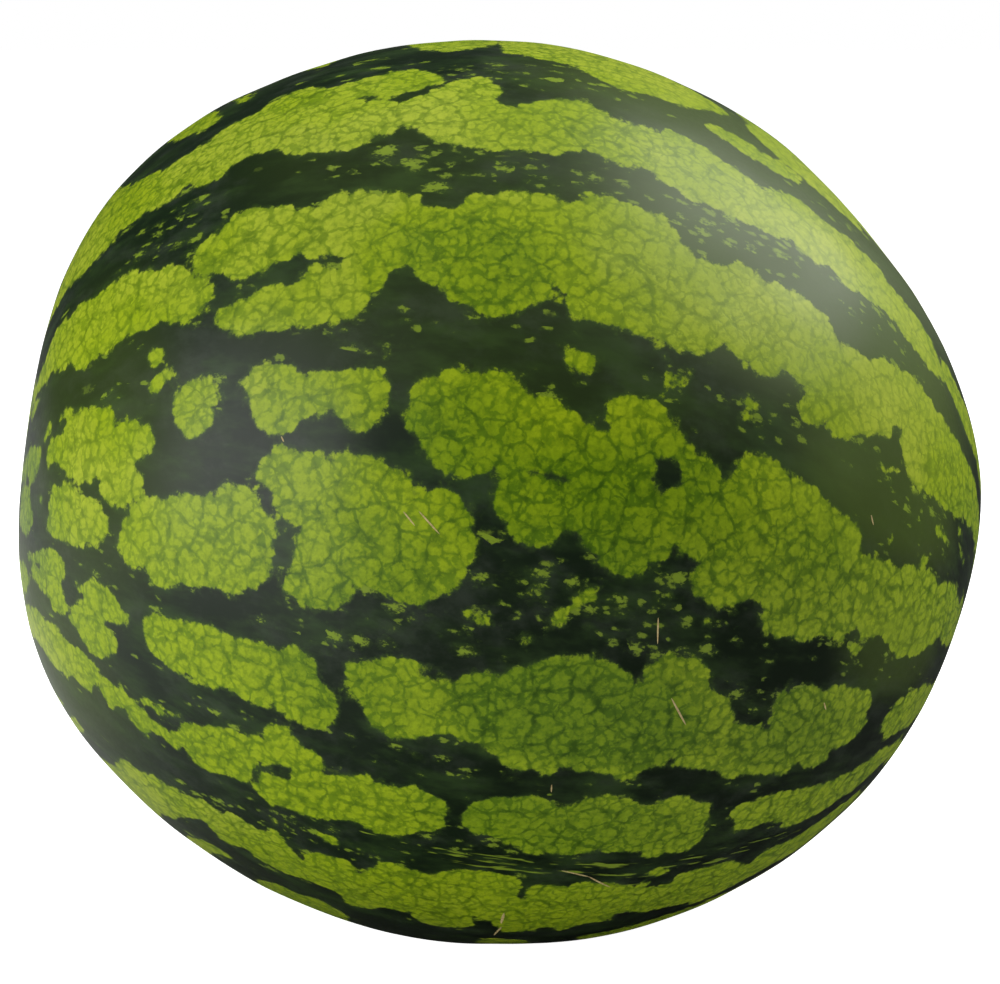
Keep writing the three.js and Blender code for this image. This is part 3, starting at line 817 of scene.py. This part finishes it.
# Colours of the rind, linear.
DARK_GREEN = (0.005, 0.015, 0.004, 1)
DARK_MOTTLE = (0.022, 0.050, 0.010, 1)
WAXY_GREEN = (0.052, 0.066, 0.050, 1)
EDGE_GREEN = (0.060, 0.120, 0.010, 1)
PALE_GREEN = (0.420, 0.510, 0.028, 1)
LIGHT_GREEN = (0.330, 0.440, 0.004, 1)
DEEP_GREEN = (0.192, 0.305, 0.001, 1)
VEIN_TINT = (0.39, 0.52, 0.12, 1)
POOL_TINT = (0.44, 0.54, 0.32, 1)
OLIVE_GREEN = (0.078, 0.124, 0.012, 1)
FLECK_GREEN = (0.230, 0.335, 0.018, 1)
DRY_STEM = (0.200, 0.130, 0.060, 1)
DRY_STEM_DARK = (0.070, 0.042, 0.020, 1)
CORK = (0.260, 0.190, 0.100, 1)
STRAW_DARK = (0.42, 0.30, 0.12, 1)
STRAW_LIGHT = (0.62, 0.50, 0.24, 1)

# Noises, as a scale, a detail and a roughness, and how places are pushed: a scale and a distance.
SLOW_PUSH = (210, 0.0030)
QUICK_PUSH = (900, 0.0009)
FLECK_PUSH = (500, 0.0016)
FRINGE_NOISE = (1100, 3.0, 0.65)
FLECK_NOISE = (1300, 3.0, 0.65)
STREAK_NOISE = (640, 2.0, 0.6)
PATCHY_NOISE = (150, 2.0)
ROUGH_NOISE = (620, 3.0, 0.65)
GAP_NOISE = (380, 1.0)
MOTTLE_NOISE = (900, 3.0, 0.7)
TONE_NOISE = (30, 3.0, 0.6)
DARK_NOISE = (120, 4.0, 0.65)
WAXY_NOISE = (100, 5.0, 0.7)
FINE_NOISE = (700, 2.0)
END_NOISE = (500, 2.0)
WOODY_NOISE = (420, 3.0, 0.7)
CORKY_NOISE = (900, 3.0)
STRAW_NOISE = (1500, 2.0)

# How far lobes, cells and the fringe move the edge of a light patch, in millimetres; the lobes and
# cells about the distance from a cell's middle at which they don't move it.
LOBE_EDGE = (0.53, 2.2)
CELL_EDGE = (0.57, 1.5)
FRINGE = 2.0
SOFT_EDGE = (-0.40, 0.40)
HALO_EDGE = (-1.2, 0.2)
# Two sizes of flecks and how common each is, and how common they are beside a light patch.
FLECK_KINDS = ((0.0032, 0.50), (0.0017, 0.54))
FLECKS_BESIDE = (-4, -0.5, 0.03, 0.16)
FLECK_EDGE = (-0.10, 0.16)
FLECK_RIM = (-0.45, 0.05)
FLECK_FRINGE = 1.1
# Steps: from and to of what is read, and then what it gives there, where that isn't 0 and 1.
STREAK_LIMIT = (0, 1, 0.95, 0.54)
SMALL_VEIN = (0.0, 0.23)
SMALL_PATCHES = (0.32, 0.62, 0.50, 1.0)
SMALL_GAPS = (0.36, 0.56, 0.25, 1.0)
LARGE_VEIN = (0.0, 0.10)
LARGE_PATCHES = (0.66, 0.36, 0.45, 1.1)
MOTTLE_STEP = (0.34, 0.68)
POOL_IN_CELL = (0.45, 0.80, 0, 0.5)
POOL_BY_VEIN = (0.22, 0.03)
LIGHT_TONE = (0.35, 0.65)
DEEP_TONE = (0.75, 1.35)
WAXY_STEP = (0.46, 0.72, 0, 0.38)
# Shares of the veins' colour, and how the deep areas (partly painted shade) and the bloom areas (partly
# painted sheen) change it.
VEIN_ROUGHNESS = 0.55
MOTTLE_SHARE = 0.45
SOFT_SHARE = 0.10
POOL_SHARE = 0.7
VEIN_STRENGTH = 0.82
DEEP_AND_SHADED_VEINS = 0.25
SHEEN_AND_BLOOM_VEINS = -0.32
OLIVE_SHARE = 0.8
EDGE_SHARE = 0.45
RIND_IOR = 1.36
RIND_ROUGHNESS = 0.36
BUMP_STRENGTH = 0.35
BUMP_HEIGHT = 0.00012


def pushed(n, place, scale, distance):
    """A place pushed about by noise, by up to half the distance each way."""
    push = n.noise(place, scale, output="Color")
    push = n.node("ShaderNodeVectorMath", {0: push, 1: (0.5, 0.5, 0.5)}, operation="SUBTRACT").outputs[0]
    push = n.node("ShaderNodeVectorMath", {0: push, "Scale": distance}, operation="SCALE").outputs[0]
    return n.node("ShaderNodeVectorMath", {0: place, 1: push}, operation="ADD").outputs[0]


def warped_place(n):
    """The object's own coordinates, and the same pushed about so that the cells have curved sides."""
    place = n.node("ShaderNodeTexCoord").outputs["Object"]
    return place, pushed(n, pushed(n, place, *SLOW_PUSH), *QUICK_PUSH)


def light_mask(n, place, warped, patch):
    """How light the rind is, 0 to 1, and how near a light edge. Edges follow round lobes and a fringe."""
    lobes = n.cells(warped, LOBE_SIZE)["Distance"]
    cells = n.cells(warped, CELL_SIZE, randomness=CELL_SPREAD)["Distance"]
    fringe = n.math("SUBTRACT", n.noise(place, *FRINGE_NOISE), 0.5)
    edge = patch
    for distance, (middle, reach) in ((lobes, LOBE_EDGE), (cells, CELL_EDGE)):
        edge = n.math("MULTIPLY_ADD", n.math("SUBTRACT", middle, distance), reach, edge)
    edge = n.math("MULTIPLY_ADD", fringe, FRINGE, edge)
    return n.step(edge, *SOFT_EDGE), n.step(edge, *HALO_EDGE)


def flecks_in_dark(n, grain, patch):
    """Where a light fleck or streak lies in the dark, 0 to 1, and the greener dark round the flecks."""
    crowd = n.math("ADD", n.value("flecks"), n.step(patch, *FLECKS_BESIDE))
    fine = n.noise(n.stretched(grain, 0.7), *FLECK_NOISE)
    fine = n.math("MULTIPLY", n.math("SUBTRACT", fine, 0.5), FLECK_FRINGE)
    fleck = rim = None
    for size, share in FLECK_KINDS:
        spots = n.cells(pushed(n, n.stretched(grain, 0.62), *FLECK_PUSH), size)
        chance = n.node("ShaderNodeSeparateColor", {"Color": spots["Color"]}).outputs
        there = n.math("SUBTRACT", n.math("MULTIPLY", crowd, share), chance[0])
        reach = n.math("MULTIPLY_ADD", chance[1], 0.22, 0.20)
        inside = n.math("SUBTRACT", reach, n.math("ADD", spots["Distance"], fine))
        spot = n.math("MULTIPLY", n.step(inside, *FLECK_EDGE), n.step(there, 0.0, 0.03, 0, 0.85))
        around = n.math("MULTIPLY", n.step(inside, *FLECK_RIM), n.step(there, 0.0, 0.03, 0, 0.5))
        fleck = spot if fleck is None else n.math("MAXIMUM", fleck, n.math("MULTIPLY", spot, 0.8))
        rim = around if rim is None else n.math("MAXIMUM", rim, around)
    thin = n.noise(n.stretched(grain, 0.14), *STREAK_NOISE)
    limit = n.step(n.value("streaks"), *STREAK_LIMIT)
    streak = n.step(n.math("SUBTRACT", thin, limit), 0.0, 0.06, 0, 0.8)
    return n.math("MAXIMUM", fleck, streak), rim


def vein_shares(n, place, warped):
    """How much of a vein's colour shows, 0 to 1, and of the dark pools where strong veins meet."""
    cells = n.cells(warped, CELL_SIZE, randomness=CELL_SPREAD)["Distance"]
    small = n.cells(warped, CELL_SIZE, "DISTANCE_TO_EDGE", CELL_SPREAD)["Distance"]
    large = n.cells(warped, LOBE_SIZE, "DISTANCE_TO_EDGE")["Distance"]
    patchy = n.noise(place, *PATCHY_NOISE)
    rough = n.math("MULTIPLY", n.math("SUBTRACT", n.noise(place, *ROUGH_NOISE), 0.5), VEIN_ROUGHNESS)
    small = n.opposite(n.step(n.math("ADD", small, rough), *SMALL_VEIN))
    small = n.math("MULTIPLY", small, n.step(patchy, *SMALL_PATCHES))
    small = n.math("MULTIPLY", small, n.step(n.noise(place, *GAP_NOISE), *SMALL_GAPS))
    near_large = n.opposite(n.step(n.math("MULTIPLY_ADD", rough, 0.4, large), *LARGE_VEIN))
    near_large = n.math("MULTIPLY", near_large, n.step(patchy, *LARGE_PATCHES))
    mottle = n.step(n.noise(place, *MOTTLE_NOISE), *MOTTLE_STEP)
    soft = n.math("MULTIPLY", mottle, MOTTLE_SHARE)
    soft = n.math("MULTIPLY_ADD", n.step(cells, 0.35, 0.85), SOFT_SHARE, soft)
    share = n.math("ADD", soft, n.math("MAXIMUM", small, near_large), clamp=True)
    pools = n.math("MULTIPLY", n.step(cells, *POOL_IN_CELL), n.step(large, *POOL_BY_VEIN))
    meeting = n.math("MULTIPLY", small, near_large)
    pools = n.math("MULTIPLY_ADD", meeting, POOL_SHARE, pools, clamp=True)
    return share, pools


def light_green(n, place, warped, bloom_and_sheen):
    """The colour of the light patches, with painted shade in the deeper green and painted sheen in the
    fainter veins, and how much of it is vein.
    """
    veins, pools = vein_shares(n, place, warped)
    # Painted shade, partly the rind's own deeper tone: this darkens the light patches across the front.
    deepness_and_shade = n.value("deepness_and_shade")
    tone = n.math("ADD", n.noise(place, *TONE_NOISE), deepness_and_shade)
    colour = n.blend(n.step(tone, *LIGHT_TONE), PALE_GREEN, LIGHT_GREEN)
    colour = n.blend(n.step(tone, *DEEP_TONE), colour, DEEP_GREEN)
    # Painted sheen, partly real wax bloom: the veins fade where highlight haze falls.
    strength = n.math("MULTIPLY_ADD", bloom_and_sheen, SHEEN_AND_BLOOM_VEINS, VEIN_STRENGTH)
    strength = n.math("MULTIPLY_ADD", deepness_and_shade, DEEP_AND_SHADED_VEINS, strength)
    colour = n.blend(n.math("MULTIPLY", veins, strength), colour, VEIN_TINT, "MULTIPLY")
    return n.blend(n.math("MULTIPLY", pools, strength), colour, POOL_TINT, "MULTIPLY"), veins


def dark_green(n, patch, halo, bloom_and_sheen):
    """The colour of the dark stripes, with their flecks, and painted sheen where highlights fall."""
    grain = n.vector("grain")
    fleck, rim = flecks_in_dark(n, grain, patch)
    mottle = n.noise(n.stretched(grain, 0.45), *DARK_NOISE)
    colour = n.blend(n.step(mottle, 0.42, 0.72), DARK_GREEN, DARK_MOTTLE)
    waxy = n.noise(n.stretched(grain, 0.8), *WAXY_NOISE)
    colour = n.blend(n.step(waxy, *WAXY_STEP), colour, WAXY_GREEN)
    # Painted sheen, partly real wax bloom: the dark turns olive where highlight haze falls.
    colour = n.blend(n.math("MULTIPLY", bloom_and_sheen, OLIVE_SHARE), colour, OLIVE_GREEN)
    near_light = n.math("MAXIMUM", halo, rim)
    colour = n.blend(n.math("MULTIPLY", near_light, EDGE_SHARE), colour, EDGE_GREEN)
    return n.blend(fleck, colour, FLECK_GREEN)


def dry_ends(n, colour, place):
    """Lays the dry stub and the corky blossom scar over the rind's colour."""
    rough_edge = n.noise(place, *END_NOISE)
    woody = n.noise(place, *WOODY_NOISE)
    stub = n.opposite(n.step(n.math("MULTIPLY_ADD", rough_edge, 1.4, n.value("stem_mm")), 5.8, 6.6))
    scar = n.opposite(n.step(n.math("MULTIPLY_ADD", rough_edge, 1.6, n.value("blossom_mm")), 4.8, 5.8))
    colour = n.blend(stub, colour, n.blend(n.step(woody, 0.35, 0.65), DRY_STEM_DARK, DRY_STEM))
    colour = n.blend(scar, colour, n.blend(n.step(woody, 0.3, 0.7), DRY_STEM, CORK))
    return colour, n.math("MAXIMUM", stub, scar)


def rind_material():
    """Dark green, with light patches edged in lobes and netted with veins."""
    n = Nodes(bpy.data.materials.new("watermelon_rind"))
    place, warped = warped_place(n)
    patch = n.value("patch_mm")
    # Painted sheen, partly real wax bloom, read from the rind's points.
    bloom_and_sheen = n.value("bloom_and_sheen")
    light, halo = light_mask(n, place, warped, patch)
    light_colour, veins = light_green(n, place, warped, bloom_and_sheen)
    colour = n.blend(light, dark_green(n, patch, halo, bloom_and_sheen), light_colour)
    colour, corky = dry_ends(n, colour, place)
    fine = n.noise(place, *FINE_NOISE)
    roughness = n.math("MULTIPLY_ADD", fine, 0.10, n.math("MULTIPLY_ADD", corky, 0.4, RIND_ROUGHNESS))
    height = n.math("MULTIPLY", n.math("MULTIPLY", veins, light), -0.35)
    height = n.math("MULTIPLY_ADD", fine, 0.25, height)
    height = n.math("MULTIPLY_ADD", corky, n.noise(place, *CORKY_NOISE), height)
    bump = {"Height": height, "Strength": BUMP_STRENGTH, "Distance": BUMP_HEIGHT}
    n.finish({"Base Color": colour, "Roughness": roughness, "IOR": RIND_IOR,
              "Normal": n.node("ShaderNodeBump", bump).outputs[0]})
    return n.owner


def scratch_material():
    """Dry, straw-coloured cork that has healed over a scratch."""
    n = Nodes(bpy.data.materials.new("healed_scratch"))
    tone = n.noise(n.node("ShaderNodeTexCoord").outputs["Object"], *STRAW_NOISE)
    n.finish({"Base Color": n.blend(n.step(tone, 0.3, 0.7), STRAW_DARK, STRAW_LIGHT),
              "Roughness": n.step(tone, 0.2, 0.8, 0.5, 0.75)})
    return n.owner


# ---------------------------------------------------------------------------------------------------
# Healed scratches: thin raised slivers, (from, to) in stripe degrees and the width in metres

SCRATCHES = [
    ((-9.9, 9.7), (-8.7, 8.6), 0.00045), ((-8.6, 10.0), (-6.5, 8.3), 0.0005),
    ((13.9, 4.9), (14.6, 2.3), 0.0005), ((17.7, -3.2), (20.2, -6.1), 0.0006),
    ((36.0, -1.5), (36.8, -2.5), 0.0005), ((33.4, 22.3), (34.1, 21.4), 0.0005),
    ((9.0, -15.8), (9.2, -16.8), 0.0004), ((-21.7, 14.9), (-21.4, 14.4), 0.0005),
    ((13.6, -29.9), (17.0, -31.0), 0.0005), ((17.0, -31.0), (20.2, -33.6), 0.0006),
    ((9.4, -41.4), (9.7, -45.0), 0.0009), ((10.0, -46.5), (9.8, -51.0), 0.0007),
]
SLIVER_STEPS = 14
SLIVER_HEIGHT = 0.00012
# A sliver's section: shares of its half width and its height.
SLIVER_SECTION = ((-1, -1.0), (-0.6, 0.8), (0.6, 0.8), (1, -1.0))
SLIVER_TIP = 0.004


def build_scratches():
    """All the slivers, as one piece: each is a low closed ridge that tapers at both ends."""
    points, faces = [], []
    for start, end, width in SCRATCHES:
        share = np.linspace(0, 1, SLIVER_STEPS + 1)
        along = start[0] + (end[0] - start[0]) * share
        around = start[1] + (end[1] - start[1]) * share
        middle = rind_points(along, around)
        ahead_of = np.gradient(middle, axis=0)
        outward = middle - CENTRE
        outward /= np.linalg.norm(outward, axis=1)[:, None]
        sideways = np.cross(ahead_of, outward)
        sideways /= np.linalg.norm(sideways, axis=1)[:, None]
        half = width / 2 * np.sqrt(np.clip(4 * share * (1 - share), SLIVER_TIP, 1))
        base = len(points)
        for i in range(SLIVER_STEPS + 1):
            rise = outward[i] * SLIVER_HEIGHT
            for across, lift in SLIVER_SECTION:
                points.append(middle[i] + sideways[i] * half[i] * across + rise * lift)
        for i in range(SLIVER_STEPS):
            for k in range(4):
                a, b = base + 4 * i + k, base + 4 * i + (k + 1) % 4
                faces.append([a, b, b + 4, a + 4])
        top = base + 4 * SLIVER_STEPS
        faces.append([base + 3, base + 2, base + 1, base])
        faces.append([top, top + 1, top + 2, top + 3])
    mesh = bpy.data.meshes.new("healed_scratches")
    mesh.from_pydata([tuple(p) for p in points], [], faces)
    mesh.update()
    scratches = bpy.data.objects.new("healed_scratches", mesh)
    bpy.context.scene.collection.objects.link(scratches)
    return scratches


# ---------------------------------------------------------------------------------------------------
# Floor and lights

FLOOR_SIZE = 40.0
FLOOR_ROUGHNESS = 0.9
FLOOR_GLOSS = 0.1
# The floor's colours: what it lends the fruit, what the rind mirrors of it on the left and on the
# right with the places between which one fades to the other, and what the camera sees.
FLOOR_BOUNCE = (0.84, 0.84, 0.79, 1)
FLOOR_MIRRORED_LEFT = (0.80, 0.80, 0.80, 1)
FLOOR_MIRRORED_RIGHT = (0.07, 0.07, 0.07, 1)
FLOOR_FADE = (-0.22, 0.0)
FLOOR_SEEN = (0.95, 0.95, 0.95, 1)
FLOOR_LIFT = 1.0
WHITE = (1, 1, 1, 1)
# The studio's light, the bearings of its dark sides, how it fades into them, and what is left there.
STUDIO_LIGHT = 0.28
DARK_SIDES = ((-60.0, 55.0), (150.0, -42.0))
STUDIO_FADE = (0.1, 0.82)
STUDIO_DARK = 0.15
# The softboxes: name, bearing, distance, width and height, power, and whether the rind mirrors it.
SOFTBOXES = (
    ("key", (47, -2), 1.1, (0.85, 0.85), 10, True),
    ("left_fill", (178, 37), 1.3, (0.9, 1.3), 14, True),
    ("overhead", (100, -10), 1.3, (1.2, 1.2), 8, False),
)


def floor_material():
    """A plain pale floor. What the camera sees of it is lifted to white; it lights the fruit less."""
    n = Nodes(bpy.data.materials.new("pale_floor"))
    path = n.node("ShaderNodeLightPath").outputs
    place = n.node("ShaderNodeTexCoord").outputs["Object"]
    rightwards = n.node("ShaderNodeSeparateXYZ", {0: place}).outputs["X"]
    mirrored = n.blend(n.step(rightwards, *FLOOR_FADE), FLOOR_MIRRORED_LEFT, FLOOR_MIRRORED_RIGHT)
    colour = n.blend(path["Is Glossy Ray"], FLOOR_BOUNCE, mirrored)
    n.finish({"Base Color": n.blend(path["Is Camera Ray"], colour, FLOOR_SEEN), "Emission Color": WHITE,
              "Emission Strength": n.math("MULTIPLY", path["Is Camera Ray"], FLOOR_LIFT),
              "Roughness": FLOOR_ROUGHNESS, "Specular IOR Level": FLOOR_GLOSS})
    return n.owner


def add_floor():
    """A plain pale floor under the fruit."""
    half = FLOOR_SIZE / 2
    mesh = bpy.data.meshes.new("floor")
    corners = [(-half, -half, 0), (half, -half, 0), (half, half, 0), (-half, half, 0)]
    mesh.from_pydata(corners, [], [(0, 1, 2, 3)])
    mesh.materials.append(floor_material())
    floor = bpy.data.objects.new("floor", mesh)
    bpy.context.scene.collection.objects.link(floor)


def add_softbox(name, direction, distance, size, power, mirrored):
    """A rectangular area light that faces the fruit from a bearing."""
    data = bpy.data.lights.new(name, "AREA")
    data.shape = "RECTANGLE"
    data.size, data.size_y = size
    data.energy = power
    lamp = bpy.data.objects.new(name, data)
    lamp.visible_glossy = mirrored
    lamp.location = CENTRE + bearing(*direction) * distance
    lamp.rotation_euler = Vector(bearing(*direction)).to_track_quat("Z", "Y").to_euler()
    bpy.context.scene.collection.objects.link(lamp)


def add_world():
    """A white studio that is dark on some sides, as the fruit sees it; plain white behind the fruit."""
    world = bpy.data.worlds.new("studio")
    bpy.context.scene.world = world
    n = Nodes(world, "Background")
    direction = n.node("ShaderNodeTexCoord").outputs["Generated"]
    light = STUDIO_LIGHT
    for side in DARK_SIDES:
        towards = n.node("ShaderNodeVectorMath", {0: direction, 1: bearing(*side)}, operation="DOT_PRODUCT")
        dimmed = n.step(towards.outputs["Value"], *STUDIO_FADE, 1.0, STUDIO_DARK)
        light = n.math("MULTIPLY", light, dimmed)
    seen = n.node("ShaderNodeLightPath").outputs["Is Camera Ray"]
    n.finish({"Color": WHITE, "Strength": n.node("ShaderNodeMix", {0: seen, 2: light, 3: 1.0}).outputs[0]})


# ---------------------------------------------------------------------------------------------------
# The scene

rind = build_rind()
rind.data.materials.append(rind_material())
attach(rind, "root")
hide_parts("watermelon")

scratches = build_scratches()
scratches.data.materials.append(scratch_material())
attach(scratches, "root")

add_floor()
for softbox in SOFTBOXES:
    add_softbox(*softbox)
add_world()
bpy.context.scene.view_settings.view_transform = "Standard"
